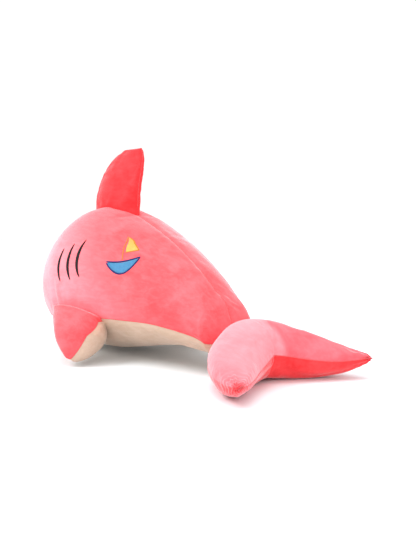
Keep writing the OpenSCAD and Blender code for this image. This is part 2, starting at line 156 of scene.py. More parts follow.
def tubeGrid(path, radius, sides, up, flat=1.0):
    # a ring of points square to the path at each of its points, closed to a point at each end
    path = np.asarray(path, float)
    run = unitRows(np.gradient(path, axis=0))
    up = np.broadcast_to(np.asarray(up, float), path.shape)
    out = unitRows(up - (up * run).sum(-1, keepdims=True) * run)
    side = np.cross(run, out)
    angle = np.linspace(0, 2 * math.pi, sides, endpoint=False)
    radius = np.broadcast_to(radius, len(path))[:, None, None]
    ring = flat * np.cos(angle)[None, :, None] * out[:, None] \
        + np.sin(angle)[None, :, None] * side[:, None]
    body = path[:, None] + radius * ring
    ends = [np.repeat(path[:1, None], sides, 1), np.repeat(path[-1:, None], sides, 1)]
    return np.concatenate([ends[0], body, ends[1]])


def subdivided(piece, levels=1):
    modifier = piece.modifiers.new("smooth", "SUBSURF")
    modifier.levels = modifier.render_levels = levels
    return piece


class Wire:
    # one socket of a material, with Python's operators adding Math nodes
    def __init__(self, maker, socket):
        self.maker, self.socket = maker, socket

    def maths(self, operation, first, second):
        return self.maker.add("ShaderNodeMath", {"operation": operation}, {0: first, 1: second})

    def __add__(self, other):
        return self.maths("ADD", self, other)

    def __radd__(self, other):
        return self.maths("ADD", other, self)

    def __mul__(self, other):
        return self.maths("MULTIPLY", self, other)

    def __rmul__(self, other):
        return self.maths("MULTIPLY", other, self)

    def __sub__(self, other):
        return self.maths("SUBTRACT", self, other)

    def __rsub__(self, other):
        return self.maths("SUBTRACT", other, self)

    def between(self, low, high):
        return self.maker.add("ShaderNodeMapRange", {"interpolation_type": "SMOOTHSTEP"},
                              {"Value": self, "From Min": low, "From Max": high})


class Finish:
    # a material and the one method that adds any node to it
    def __init__(self, name):
        self.material = bpy.data.materials.new(name)
        self.material.use_nodes = True
        self.tree = self.material.node_tree
        self.tree.nodes.clear()

    def feed(self, socket, value):
        if isinstance(value, Wire):
            self.tree.links.new(value.socket, socket)
        else:
            socket.default_value = value

    def add(self, kind, settings=None, values=None, out=0):
        node = self.tree.nodes.new(kind)
        for key, value in (settings or {}).items():
            setattr(node, key, value)
        for key, value in (values or {}).items():
            self.feed(node.inputs[key], value)
        return Wire(self, node.outputs[out])

    def place(self, scale=(1, 1, 1), source="Object", turn=(0, 0, 0)):
        where = self.add("ShaderNodeTexCoord", out=source)
        return self.add("ShaderNodeMapping", {}, {"Vector": where, "Scale": scale, "Rotation": turn})

    def noise(self, where, scale, detail=3.0, roughness=0.55, distortion=0.0):
        return self.add("ShaderNodeTexNoise", {}, {"Vector": where, "Scale": scale, "Detail": detail,
                                                   "Roughness": roughness, "Distortion": distortion})

    def blend(self, factor, first, second):
        return self.add("ShaderNodeMix", {"data_type": "RGBA"},
                        {0: factor, 6: first, 7: second}, out=2)

    def bump(self, height, strength, distance):
        return self.add("ShaderNodeBump", {}, {"Height": height, "Strength": strength,
                                               "Distance": distance})

    def finish(self, **values):
        shader = self.tree.nodes.new("ShaderNodeBsdfPrincipled")
        for key, value in values.items():
            self.feed(shader.inputs[key.replace("_", " ")], value)
        output = self.tree.nodes.new("ShaderNodeOutputMaterial")
        self.tree.links.new(shader.outputs[0], output.inputs[0])
        return self.material


velourLook = {
    "sheen": 0.9, "sheenRoughness": 0.32, "specular": 0.12, "roughness": 0.8, "roughnessRange": 0.12,
    "patchScale": 22.0, "patchRange": (0.33, 0.70),     # a larger scale gives smaller patches
    "strokeStretch": (60, 14, 60), "strokeScale": 2.2, "strokeRange": (0.35, 0.70),
    "napScale": 750.0, "fleckScale": 260.0, "bump": 0.35, "bumpHeight": 0.0012,
    # shares of the patches, strokes and flecks in the tone, and of nap, flecks and strokes in height
    "toneShares": (0.5, 0.3, 0.2), "heightShares": (0.7, 0.6, 0.25),
    # metres: how fast the right side turns to painted shade, how far left the turn back to painted shade
    # lies, and how far the edges wander; the head keys place a painted highlight, the knot keys painted
    # shade at a gathered tip
    "farEdge": -0.01, "farWidth": 0.014, "leftEnd": (0.08, 0.155), "leftShare": 0.8,
    "farWander": 0.004, "leftWander": 0.02, "headWander": 0.04, "headRange": (0.17, 0.01),
    "knotRange": (0.019, 0.008), "knotWander": 0.006, "knotShare": 0.75,
}


def velour(name, deep, light, tint, sheen=None, shadeColours=None, edge=None, headHighlight=None, shadedTip=None):
    # short-pile velour: brushed patches, a fine nap and a pale sheen; one colour pair is painted shade that
    # the cloth turns to on the toy's right, from the edge given, and at its left tip; the other is a painted
    # highlight round its head;
    # the place given is a tip gathered tight on the left, which painted shade darkens
    f = Finish(name)
    look = velourLook
    edge = look["farEdge"] if edge is None else edge
    where = f.place()
    patches = f.noise(where, look["patchScale"], 3.0, 0.5, 0.5).between(*look["patchRange"])
    strokes = f.noise(f.place(look["strokeStretch"]), look["strokeScale"], 4.0, 0.6, 0.6)
    strokes = strokes.between(*look["strokeRange"])
    nap = f.noise(where, look["napScale"], 2.0, 0.6)
    fleck = f.noise(where, look["fleckScale"], 2.0, 0.6)
    byPatch, byStroke, byFleck = look["toneShares"]
    tone = patches * byPatch + strokes * byStroke + fleck * byFleck
    colour = f.blend(tone, deep, light)
    # painted shade: darker pinks on the toy's right, away from the lamps, and towards its left tip
    if shadeColours:
        x = f.add("ShaderNodeSeparateXYZ", {}, {0: where})
        right = (x - patches * look["farWander"]).between(edge, edge - look["farWidth"])
        left = (x + patches * look["leftWander"]).between(*look["leftEnd"])
        colour = f.blend(right, colour, f.blend(tone, *shadeColours))
        colour = f.blend(left * look["leftShare"], colour, f.blend(tone, *shadeColours))
    # painted highlight: paler pinks round the head and up its front, standing in for sheen and lamp light
    # there
    if headHighlight:
        y = f.add("ShaderNodeSeparateXYZ", {}, {0: where}, out=1)
        z = f.add("ShaderNodeSeparateXYZ", {}, {0: where}, out=2)
        front = (y + z + patches * look["headWander"]).between(*look["headRange"])
        colour = f.blend(front, colour, f.blend(tone, *headHighlight))
    # painted shade: the cloth darkens to a deep red round the gathered tip, where its creases lie in shade
    if shadedTip:
        mirrored = f.add("ShaderNodeVectorMath", {"operation": "ABSOLUTE"}, {0: where})
        reach = f.add("ShaderNodeVectorMath", {"operation": "DISTANCE"}, {0: mirrored, 1: shadedTip}, out=1)
        near = (reach + fleck * look["knotWander"]).between(*look["knotRange"])
        colour = f.blend(near * look["knotShare"], colour, tipShadeColour)
    byNap, byFleck, byStroke = look["heightShares"]
    height = nap * byNap + fleck * byFleck + strokes * byStroke
    return f.finish(Base_Color=colour, Roughness=nap * look["roughnessRange"] + look["roughness"],
                    Normal=f.bump(height, look["bump"], look["bumpHeight"]),
                    Sheen_Weight=look["sheen"] if sheen is None else sheen,
                    Sheen_Roughness=look["sheenRoughness"],
                    Sheen_Tint=tint, Specular_IOR_Level=look["specular"])


satinLook = {
    "threadRate": 1500.0,       # turns of the wave's angle, in radians to the metre
    "fuzz": 0.8, "noiseScale": 160.0, "noiseShare": 0.4, "threadShare": 0.6,
    "roughness": 0.62, "shine": 0.2, "bump": 0.6, "bumpHeight": 0.0004, "sheenRoughness": 0.4,
}


def satin(name, dark, light, gloss=0.4, sheen=0.2):
    # satin stitch: fine threads side by side, a soft gloss across them
    f = Finish(name)
    look = satinLook
    uv = f.place((1, 1, 1), "UV")
    wave = f.add("ShaderNodeTexWave", {"wave_type": "BANDS", "bands_direction": "Y",
                                       "wave_profile": "SIN"},
                 {"Vector": uv, "Scale": look["threadRate"] / (2 * math.pi),
                  "Distortion": look["fuzz"], "Detail": 1.0, "Detail Scale": 3.0}, out=1)
    tone = f.noise(uv, look["noiseScale"], 2.0) * look["noiseShare"] + wave * look["threadShare"]
    return f.finish(Base_Color=f.blend(tone, dark, light),
                    Roughness=look["roughness"] - wave * look["shine"],
                    Normal=f.bump(wave, look["bump"], look["bumpHeight"]), Specular_IOR_Level=gloss,
                    Sheen_Weight=sheen, Sheen_Roughness=look["sheenRoughness"])


threadLook = {
    "plyScale": 180.0, "plyTurn": 0.6, "fuzz": 0.4, "roughness": 0.8, "shine": 0.1, "bump": 0.5,
    "bumpHeight": 0.0004, "sheen": 0.3,
}


def threadFinish(name, dark, light):
    # sewing thread: two plies that wind round each other
    f = Finish(name)
    look = threadLook
    uv = f.place((1, 1, 1), "UV", (0, 0, look["plyTurn"]))
    ply = f.add("ShaderNodeTexWave", {"wave_type": "BANDS", "bands_direction": "Y"},
                {"Vector": uv, "Scale": look["plyScale"], "Distortion": look["fuzz"]}, out=1)
    return f.finish(Base_Color=f.blend(ply, dark, light), Roughness=look["roughness"] - ply * look["shine"],
                    Normal=f.bump(ply, look["bump"], look["bumpHeight"]), Sheen_Weight=look["sheen"])


plasticLook = {
    "hazeScale": 90.0, "paler": 1.6, "roughness": 0.08, "roughnessRange": 0.12, "dimpleScale": 300.0,
    "bump": 0.05, "bumpHeight": 0.0003, "coat": 0.6, "coatRoughness": 0.05,
}


def plastic(name, colour):
    # polished plastic with a faint haze and a clear coat
    f = Finish(name)
    look = plasticLook
    haze = f.noise(f.place(), look["hazeScale"], 4.0, 0.6)
    paler = tuple(c * look["paler"] for c in colour[:3]) + (1,)
    return f.finish(Base_Color=f.blend(haze, colour, paler),
                    Roughness=haze * look["roughnessRange"] + look["roughness"],
                    Normal=f.bump(f.noise(f.place(), look["dimpleScale"], 2.0), look["bump"],
                                  look["bumpHeight"]),
                    Coat_Weight=look["coat"], Coat_Roughness=look["coatRoughness"])


paleTint = (1, 0.78, 0.83, 1)
# the deep red of the painted shade in the gathered tail tip
tipShadeColour = (0.62, 0.02, 0.03, 1)
tailTip = (0.138, 0.319, 0.031)
pinkVelour = velour("pink_velour", (0.78, 0.065, 0.075, 1), (0.92, 0.14, 0.16, 1), paleTint)
# the body's pink, with a painted highlight round its head
bodyVelour = velour("body_velour", (0.79, 0.068, 0.078, 1), (0.92, 0.15, 0.17, 1), paleTint,
                    headHighlight=((0.86, 0.18, 0.21, 1), (0.97, 0.31, 0.36, 1)))
# the dorsal fin's pink, painted darker than the body's as painted shade, with a weaker sheen
shadedFinVelour = velour("fin_velour", (0.72, 0.022, 0.026, 1), (0.86, 0.055, 0.062, 1), paleTint, 0.5)
# the tail's pink, painted paler than the body's as painted light where the lamps fall, with painted shade on
# its right and at the gathered tip; its underside is the same, with painted shade over most of it
litAndShadedTailVelour = velour("tail_velour", (0.86, 0.20, 0.23, 1), (0.96, 0.30, 0.34, 1), paleTint,
                    shadeColours=((0.80, 0.09, 0.11, 1), (0.92, 0.16, 0.19, 1)), shadedTip=tailTip)
litAndShadedUnderVelour = velour("under_velour", (0.82, 0.12, 0.14, 1), (0.94, 0.20, 0.23, 1), paleTint,
                     shadeColours=((0.74, 0.028, 0.032, 1), (0.88, 0.07, 0.076, 1)), edge=0.045, shadedTip=tailTip)
creamVelour = velour("cream_velour", (0.50, 0.35, 0.255, 1), (0.62, 0.47, 0.37, 1), (1, 0.93, 0.88, 1), 0.4)
blackSatin = satin("black_satin", (0.002, 0.002, 0.003, 1), (0.012, 0.010, 0.013, 1), 0.12, 0.0)
navySatin = satin("navy_satin", (0.004, 0.010, 0.06, 1), (0.012, 0.028, 0.14, 1), 0.2, 0.0)
blueSatin = satin("blue_satin", (0.006, 0.085, 0.20, 1), (0.05, 0.27, 0.50, 1))
yellowSatin = satin("yellow_satin", (0.62, 0.22, 0.02, 1), (0.90, 0.44, 0.08, 1))
ochreSatin = satin("ochre_satin", (0.30, 0.11, 0.005, 1), (0.52, 0.24, 0.02, 1), 0.2, 0.0)
seamThread = threadFinish("seam_thread", (0.50, 0.03, 0.04, 1), (0.78, 0.09, 0.10, 1))
eyePlastic = plastic("eye_plastic", (0.006, 0.006, 0.008, 1))
print("materials made")


clothLook = {
    "pressure": 6.0, "slack": 0.015, "steps": 20, "quality": 6, "mass": 0.25,
    "stretching": 12, "shear": 6, "bending": 3.0,
    # how much of the broad swelling and of the fine creases is kept, and the rounds of
    # averaging that part the one from the other
    "broadShare": 0.3, "fineShare": 0.55, "rounds": 60,
}


def ballFaces(rows, columns):
    # quads of a closed skin whose first and last points are its poles
    i = np.arange(rows - 1)[:, None]
    j = np.arange(columns)[None, :]
    q = 1 + i * columns + j
    r = 1 + i * columns + (j + 1) % columns
    quads = np.stack([q, r, r + columns, q + columns], -1).reshape(-1, 4).tolist()
    j = np.arange(columns)
    first = np.stack([0 * j, 1 + (j + 1) % columns, 1 + j], -1).tolist()
    base, last = 1 + (rows - 1) * columns, 1 + rows * columns
    end = np.stack([base + j, base + (j + 1) % columns, 0 * j + last], -1).tolist()
    return first + quads + end


def softened(field, rounds):
    # neighbours averaged along and across the grid, round after round
    for _ in range(rounds):
        field = (np.roll(field, 1, 1) + np.roll(field, -1, 1) + 2 * field) / 4
        field[1:-1] = (field[:-2] + field[2:] + 2 * field[1:-1]) / 4
    return field


def blown(grid, held, cap, name):
    # a stuffed skin: cloth with pressure inside, fixed where held is 1, each point's travel
    # capped; the grid gives its form, so the broad part of the travel is mostly taken back
    rows, columns = grid.shape[:2]
    points = np.vstack([grid[:1].mean(1), grid[1:-1].reshape(-1, 3), grid[-1:].mean(1)])
    hold = np.concatenate([[1.0], held[1:-1].ravel(), [1.0]])
    piece = meshObject(name, points, ballFaces(rows - 2, columns))
    group = piece.vertex_groups.new(name="held")
    group.add(np.nonzero(hold > 0.5)[0].tolist(), 1.0, "REPLACE")
    cloth = piece.modifiers.new("cloth", "CLOTH")
    s = cloth.settings
    s.quality, s.mass = clothLook["quality"], clothLook["mass"]
    s.tension_stiffness = s.compression_stiffness = clothLook["stretching"]
    s.shear_stiffness, s.bending_stiffness = clothLook["shear"], clothLook["bending"]
    s.use_pressure, s.uniform_pressure_force = True, clothLook["pressure"]
    s.shrink_min = s.shrink_max = -clothLook["slack"]
    s.vertex_group_mass, s.pin_stiffness = "held", 1.0
    s.effector_weights.gravity = 0
    cloth.collision_settings.use_collision = False
    cloth.collision_settings.use_self_collision = False
    cloth.point_cache.frame_start, cloth.point_cache.frame_end = 1, clothLook["steps"]
    scene = bpy.context.scene
    for f in range(1, clothLook["steps"] + 1):
        scene.frame_set(f)
    result = piece.evaluated_get(bpy.context.evaluated_depsgraph_get()).to_mesh()
    moved = np.empty(len(result.vertices) * 3)
    result.vertices.foreach_get("co", moved)
    moved = moved.reshape(-1, 3)
    bpy.data.objects.remove(piece, do_unlink=True)
    scene.frame_set(1)
    travel = moved - points
    length = np.linalg.norm(travel, axis=1, keepdims=True)
    travel *= cap / np.maximum(length, cap)
    move = np.zeros(grid.shape)
    move[1:-1] = travel[1:-1].reshape(rows - 2, columns, 3)
    broad = softened(move, clothLook["rounds"])
    made = grid + clothLook["broadShare"] * broad + clothLook["fineShare"] * (move - broad)
    made[0], made[-1] = grid[0], grid[-1]
    print(name, "cloth travel", round(float(np.linalg.norm(travel, axis=1).max()), 4))
    return made


body = {
    "noseY": -0.320, "length": 0.486, "top": 0.143, "bottom": 0.105, "halfWidth": 0.126,
    "middle": 0.114,
    # share along the body, then height of the top and the bottom, half width, widest line
    "profile": [
        [0.000, 0.00, 0.00, 0.00, 0.00],
        [0.046, 0.37, 0.52, 0.51, 0.00],
        [0.146, 0.72, 0.86, 0.83, 0.02],
        [0.292, 1.015, 0.98, 1.00, 0.05],
        [0.438, 0.965, 1.00, 0.98, 0.05],
        [0.604, 0.75, 0.87, 0.86, 0.00],
        [0.771, 0.46, 0.77, 0.67, -0.09],
        [0.917, 0.085, 0.81, 0.48, -0.26],
        [0.967, -0.08, 0.84, 0.38, -0.35],
        [1.000, -0.42, 0.56, 0.00, -0.42],
    ],
    # degrees from straight down to the belly seam, and how many fewer at the tail and the chin
    "seamAngle": 67.0, "seamNarrowing": 14.0, "narrowFrom": 0.75, "chinNarrowing": 48.0, "chinTo": 0.36,
    # the sections' powers, and the share of the length where the rear ones set in and take over
    "frontPower": 2.1, "rearPower": 1.65, "underPower": 2.2, "rearFrom": 0.45, "rearWithin": 0.4,
    "rings": 150, "endCrowding": 0.55, "sideColumns": 44, "bellyColumns": 30, "travel": 0.006,
    "lumpSizes": (0.16, 0.055), "lumpHeights": (0.0012, 0.0005),
    "seamDepth": 0.0016, "seamWidth": 0.0045, "pucker": 0.0005,
}


def bodyPoint(t, angle):
    # superellipse sections: half width * cos^(2/p), reach * sin^(2/p), on the profile's curves
    row = curveThrough(body["profile"], t)
    y = body["noseY"] + body["length"] * row[..., 0]
    top = body["middle"] + body["top"] * row[..., 1]
    bottom = body["middle"] - body["bottom"] * row[..., 2]
    half = body["halfWidth"] * row[..., 3]
    widest = body["middle"] + body["bottom"] * row[..., 4]
    widest = np.minimum(widest, np.where(t > 0.98, top, widest))
    cosine, sine = np.cos(np.radians(angle)), np.sin(np.radians(angle))
    rear = np.clip((t - body["rearFrom"]) / body["rearWithin"], 0, 1)
    power = np.where(sine > 0, body["frontPower"] + (body["rearPower"] - body["frontPower"]) * rear,
                     body["underPower"])
    reach = np.where(sine > 0, top - widest, widest - bottom)
    x = half * np.sign(cosine) * np.abs(cosine) ** (2 / power)
    z = widest + reach * np.sign(sine) * np.abs(sine) ** (2 / power)
    return np.stack([x, y, z], -1)


def seamAngle(t):
    # the belly seam's angle: less towards the tail by a power of 1.5, and evenly less to the chin
    start, chin = body["narrowFrom"], body["chinTo"]
    return body["seamAngle"] - body["seamNarrowing"] * (np.maximum(0, t - start) / (1 - start)) ** 1.5 \
        - body["chinNarrowing"] * np.maximum(0, chin - t) / chin


def bodyGrid():
    # columns run from the back's seam down the left, under the belly and up the right
    side, belly = body["sideColumns"], body["bellyColumns"]
    s = np.linspace(0, 1, body["rings"])
    t = (0.5 - 0.5 * np.cos(math.pi * s)) * body["endCrowding"] + s * (1 - body["endCrowding"])
    t = t[:, None]
    seam = seamAngle(t) - 90
    down = np.arange(side) / side
    under = np.arange(belly) / belly
    left = 90 + (seam - 90) * down
    below = seam - 2 * (90 + seam) * under
    right = -180 - seam + (-90 + seam) * down
    angle = np.concatenate([left, below, right], 1)
    return bodyPoint(np.broadcast_to(t, angle.shape), angle), t


bodySkin, bodyShare = bodyGrid()
side, belly = body["sideColumns"], body["bellyColumns"]
bodySkin[0] = bodySkin[0].mean(0)
bodySkin[-1] = bodySkin[-1, [0]]
seamColumns = [0, side, side + belly]

heldBody = np.zeros(bodySkin.shape[:2])
heldBody[:, seamColumns] = 1.0
heldBody[-3:] = 1.0
heldBody[:1] = 1.0
bodySkin = blown(bodySkin, heldBody, body["travel"], "bodyCloth")


def seamDistance(grid, column):
    # distance across the skin from a column, measured round each ring
    step = np.linalg.norm(np.diff(np.concatenate([grid, grid[:, :1]], 1), axis=1), axis=-1)
    start = np.concatenate([np.zeros((len(grid), 1)), step.cumsum(1)], 1)
    girth = start[:, -1:]
    d = np.abs(start[:, :-1] - start[:, [column]])
    return np.minimum(d, girth - d)


def runLength(path):
    return np.append(0, np.linalg.norm(np.diff(path, axis=0), axis=1).cumsum())


sewing = {
    "spacing": 0.009,                                       # from one pucker to the next
    "lip": 0.35, "lipPlace": 2.1, "lipWidth": 1.3,          # the skin's rise beside the valley
    "puckerReach": 3.0, "wander": 1.7, "wanderRate": 70,    # how far and how unevenly it puckers
    "strength": 0.6, "unevenness": 0.4, "unevenRate": 41,
}


def linePath(points, count, values=None):
    # values along a path, or its own points, at places evenly spread along its length
    values = points if values is None else values
    s = runLength(points)
    f = np.linspace(0, s[-1], count)
    return np.stack([np.interp(f, s, values[:, k]) for k in range(values.shape[1])], 1)


def sewn(grid, columns, depth, width, pucker, shown=None):
    # the skin sinks along its seams by a bell curve, rises beside them by another, and puckers
    # across them in short soft ripples; shown is each seam's share of this along its length
    normal = gridNormals(grid, True)
    move = np.zeros(grid.shape[:2])
    for number, column in enumerate(columns):
        d = seamDistance(grid, column)
        along = runLength(grid[:, column])[:, None]
        share = 1 if shown is None else shown[number]
        move -= share * depth * np.exp(-(d / width) ** 2)
        beside = (d - sewing["lipPlace"] * width) / (sewing["lipWidth"] * width)
        move += sewing["lip"] * share * depth * np.exp(-beside ** 2)
        wander = sewing["wander"] * np.sin(along * sewing["wanderRate"] + number)
        ripple = np.sin(2 * math.pi * along / sewing["spacing"] + wander)
        uneven = sewing["unevenness"] * np.sin(along * sewing["unevenRate"] + 2 * number)
        ripple = ripple * (sewing["strength"] + uneven)
        move += pucker * ripple * np.exp(-(d / (sewing["puckerReach"] * width)) ** 2) \
            * (1 - np.exp(-(d / width) ** 2))
    return grid + normal * move[..., None]


normalBody = gridNormals(bodySkin, True)
outward = np.sign((normalBody * (bodySkin - bodySkin.mean((0, 1)))).sum(-1).mean())
print("body faces", outward)
fade = smooth(bodyShare, 0.0, 0.04) * (1 - smooth(bodyShare, 0.97, 1.0))
broadSize, fineSize = body["lumpSizes"]
broadHeight, fineHeight = body["lumpHeights"]
lumps = softNoise(bodySkin, broadSize, 4, 2) * broadHeight + softNoise(bodySkin, fineSize, 9, 2) * fineHeight
bodySkin = bodySkin + normalBody * (outward * lumps * fade)[..., None]
bodySkin = sewn(bodySkin, seamColumns, body["seamDepth"] * outward, body["seamWidth"],
                body["pucker"])
bodySkin[0], bodySkin[-1] = bodySkin[0].mean(0), bodySkin[-1].mean(0)

bodyClosed = np.concatenate([bodySkin, bodySkin[:, :1]], 1)
flip = outward < 0
skinLeft = gridPiece("body_skin_left", bodyClosed[:, :side + 1], bodyVelour, flip=flip)
skinBelly = gridPiece("belly_skin", bodyClosed[:, side:side + belly + 1], creamVelour, flip=flip)
skinRight = gridPiece("body_skin_right", bodyClosed[:, side + belly:], bodyVelour, flip=flip)
for piece, nodes, slotName in [(skinLeft, ["body_side_left", "body_stuffing"], "pink_velour"),
                               (skinBelly, ["belly_panel"], "cream_velour"),
                               (skinRight, ["body_side_right"], "pink_velour")]:
    subdivided(piece)
    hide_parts(*nodes)
    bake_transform(piece)
print("body skin made")


def stuffedFin(grid, heldRows, travel, name):
    # a fin held along its two edges and at its root; also its normals, and 1 if they face out
    held = np.zeros(grid.shape[:2])
    held[:, [0, grid.shape[1] // 2]] = 1.0
    held[heldRows] = 1.0
    skin = blown(grid, held, travel, name)
    n = gridNormals(skin, True)
    return skin, n, np.sign((n * (skin - skin.mean(1, keepdims=True))).sum(-1).mean())


def twoPanels(skin, firstName, firstFinish, secondName, secondFinish, facing):
    # a fin's skin cut in two along its edges
    closed = np.concatenate([skin, skin[:, :1]], 1)
    middle = skin.shape[1] // 2
    return (gridPiece(firstName, closed[:, :middle + 1], firstFinish, flip=facing < 0),
            gridPiece(secondName, closed[:, middle:], secondFinish, flip=facing < 0))


dorsal = {
    "hinge": (0, -0.154, 0.259), "tilt": 6.0, "height": 0.098, "chord": 0.130,
    "thickness": 0.050, "lean": 0.064, "rings": 60, "columns": 64, "rootDepth": 0.016,
    # shares of the chord lost at the top, of the thickness at the root and lost at the top, and
    # of the height where the fin is fullest
    "topTaper": 0.6, "rootFullness": 0.62, "thinning": 0.42, "fullFrom": 0.3,
    "saddle": 0.010, "topLevel": 0.10, "travel": 0.004,
    "creaseStretch": (0.6, 0.35, 1.6), "creaseSize": 0.034, "creaseHeight": 0.0011,
    "seamDepth": 0.0014, "seamWidth": 0.004, "pucker": 0.0003,
}


def dorsalGrid():
    # oval sections stacked up a line that leans back with the height squared, thickest low
    # down; each section's ends dip at the root and its rear end dips again towards the top
    s = np.linspace(0, 1, dorsal["rings"])[:, None]
    s = s ** 0.9
    a = np.linspace(0, 2 * math.pi, dorsal["columns"], endpoint=False)[None]
    half = dorsal["chord"] / 2 * (1 - dorsal["topTaper"] * s ** 4)
    swell = np.sin(math.pi / 2 * np.minimum(1, s / dorsal["fullFrom"]))
    thick = dorsal["thickness"] / 2 * (dorsal["rootFullness"] + (1 - dorsal["rootFullness"]) * swell)
    thick = thick * (1 - dorsal["thinning"] * s) * np.sqrt(np.maximum(0, 1 - s ** 8))
    x = thick * np.sin(a)
    y = dorsal["lean"] * s ** 2 + half * np.cos(a)
    z = dorsal["height"] * s - dorsal["rootDepth"] * (1 - s) ** 3 \
        - dorsal["saddle"] * (1 - s) ** 3 * np.cos(a) ** 2 - dorsal["topLevel"] * s ** 2 * half * np.cos(a)
    return np.stack(np.broadcast_arrays(x, y, z), -1)


def atDorsal(grid):
    # the fin leant back about its hinge and set on the body
    k = math.radians(dorsal["tilt"])
    x, y, z = grid[..., 0], grid[..., 1], grid[..., 2]
    hx, hy, hz = dorsal["hinge"]
    return np.stack([x + hx, y * math.cos(k) - z * math.sin(k) + hy,
                     y * math.sin(k) + z * math.cos(k) + hz], -1)


dorsalSkin, n, facing = stuffedFin(atDorsal(dorsalGrid()), slice(8), dorsal["travel"], "dorsalCloth")
height = np.linspace(0, 1, dorsal["rings"])[:, None]
creases = softNoise(dorsalSkin * np.array(dorsal["creaseStretch"]), dorsal["creaseSize"], 21, 2)
lump = dorsal["creaseHeight"] * creases * np.sin(math.pi * np.clip(height, 0, 1)) ** 0.6
dorsalSkin = dorsalSkin + n * (facing * lump)[..., None]
half = dorsal["columns"] // 2
crest = dorsalSkin[-1].copy()
dorsalSkin = sewn(dorsalSkin, [0, half], dorsal["seamDepth"] * facing, dorsal["seamWidth"], dorsal["pucker"])
dorsalSkin[-1] = crest * [0, 1, 1]      # the top row closes on itself
finLeft, finRight = twoPanels(dorsalSkin, "dorsal_skin_left", shadedFinVelour, "dorsal_skin_right", shadedFinVelour,
                              facing)
for piece, nodes in [(finLeft, ["dorsal_left", "dorsal_stuffing"]), (finRight, ["dorsal_right"])]:
    subdivided(piece)
    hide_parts(*nodes)
    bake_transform(piece)
print("dorsal fin made")


pectoral = {
    "hinge": (0.116, -0.093, 0.073), "toeIn": 8.0, "reach": 0.047, "drop": 0.059, "sweep": 0.031,
    "chord": 0.122, "thickness": 0.090, "underFullness": 1.2, "flare": 20.0, "gap": 0.004,
    "rings": 64, "columns": 64, "rootDepth": 0.16, "sink": 0.13, "travel": 0.004,
    # the root's lift and how soon it fades, the fin's own rise half way out, and the root's
    # shares of the length at its closed end and at its rear, and of the thickness
    "archLift": 0.010, "archReach": 0.2, "rise": 0.003,
    "closedLength": 0.8, "rearLength": 0.80, "rearWithin": 0.3, "rootFullness": 0.72, "fullFrom": 0.45,
    "turnWithin": 0.35, "lumpSize": 0.05, "lumpHeight": 0.0010,
    "seamDepth": 0.0016, "seamWidth": 0.0045, "pucker": 0.0005,
}


def pectoralGrid(side):
    # oval sections along a line that runs outward, back and down from the root, and a rounded
    # end beyond the root that closes the fin inside the body
    reach, sweep, drop = pectoral["reach"], pectoral["sweep"], pectoral["drop"]
    run = unitRows(np.array([reach, sweep, -drop]))
    flare = math.radians(pectoral["flare"])
    along = np.array([math.sin(flare), math.cos(flare), 0])
    out = unitRows(np.cross(run, along))
    s = np.linspace(-pectoral["rootDepth"], 1, pectoral["rings"])[:, None]
    a = np.linspace(0, 2 * math.pi, pectoral["columns"], endpoint=False)[None]
    inside = np.maximum(s, 0)
    half = pectoral["chord"] / 2 * np.maximum(0, 1 - inside ** 1.7) ** 0.8
    closing = np.sqrt(np.maximum(0, 1 - (np.minimum(s, 0) / pectoral["rootDepth"]) ** 2))
    half = half * (pectoral["closedLength"] + (1 - pectoral["closedLength"]) * closing)

    def grown(root, within):
        # from a share at the root to the whole, as a quarter of a sine wave
        return root + (1 - root) * np.sin(math.pi / 2 * np.clip(s / within, 0, 1))

    half = half * np.where(np.cos(a) > 0, grown(pectoral["rearLength"], pectoral["rearWithin"]), 1)
    thick = pectoral["thickness"] / 2 * grown(pectoral["rootFullness"], pectoral["fullFrom"])
    thick = thick * np.maximum(0, 1 - inside ** 2) ** 0.55 * closing
    thick = thick * np.where(np.sin(a) < 0, pectoral["underFullness"], 1)
    turn = np.clip(s / pectoral["turnWithin"], 0, 1)[..., None]
    lengthwise = np.array([0, 1, 0]) * (1 - turn) + along * turn
    lift = pectoral["rise"] * np.sin(math.pi * inside) \
        + pectoral["archLift"] * np.exp(-(s / pectoral["archReach"]) ** 2) * np.maximum(0, np.sin(a))
    grid = pectoral["gap"] * unitRows(np.array([1, 0, -0.8])) \
        + inside[..., None] * np.array([reach, sweep, -drop]) \
        + np.minimum(s, 0)[..., None] * np.array([pectoral["sink"], 0, 0]) \
        + lift[..., None] * np.array([0, 0, 1]) \
        + (half * np.cos(a))[..., None] * lengthwise + (thick * np.sin(a))[..., None] * out
    k = math.radians(pectoral["toeIn"])
    x, y, z = grid[..., 0], grid[..., 1], grid[..., 2]
    hx, hy, hz = pectoral["hinge"]
    placed = np.stack([x * math.cos(k) - y * math.sin(k) + hx,
                       x * math.sin(k) + y * math.cos(k) + hy, z + hz], -1)
    return placed * np.array([side, 1, 1])


def makePectoral(name, side):
    mid = pectoral["columns"] // 2
    skin, n, facing = stuffedFin(pectoralGrid(side), slice(10), pectoral["travel"], name + "Cloth")
    s = np.linspace(0, 1, pectoral["rings"])[:, None]
    lump = softNoise(skin * np.array([side, 1, 1]), pectoral["lumpSize"], 33, 2) \
        * pectoral["lumpHeight"] * np.sin(math.pi * s) ** 0.5
    skin = skin + n * (facing * lump)[..., None]
    skin = sewn(skin, [0, mid], pectoral["seamDepth"] * facing, pectoral["seamWidth"], pectoral["pucker"])
    skin[-1] = skin[-1].mean(0)
    node = "pectoral_" + name
    top, under = twoPanels(skin, node + "_skin_top", pinkVelour, node + "_skin_under", creamVelour, facing)
    for piece, nodes, slotName in [(top, [node + "_top", node + "_stuffing"], "pink_velour"),
                                   (under, [node + "_under"], "cream_velour")]:
        subdivided(piece)
        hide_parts(*nodes)
        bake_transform(piece)
    return skin


pectoralSkins = {1: makePectoral("left", 1), -1: makePectoral("right", -1)}
print("pectoral fins made")


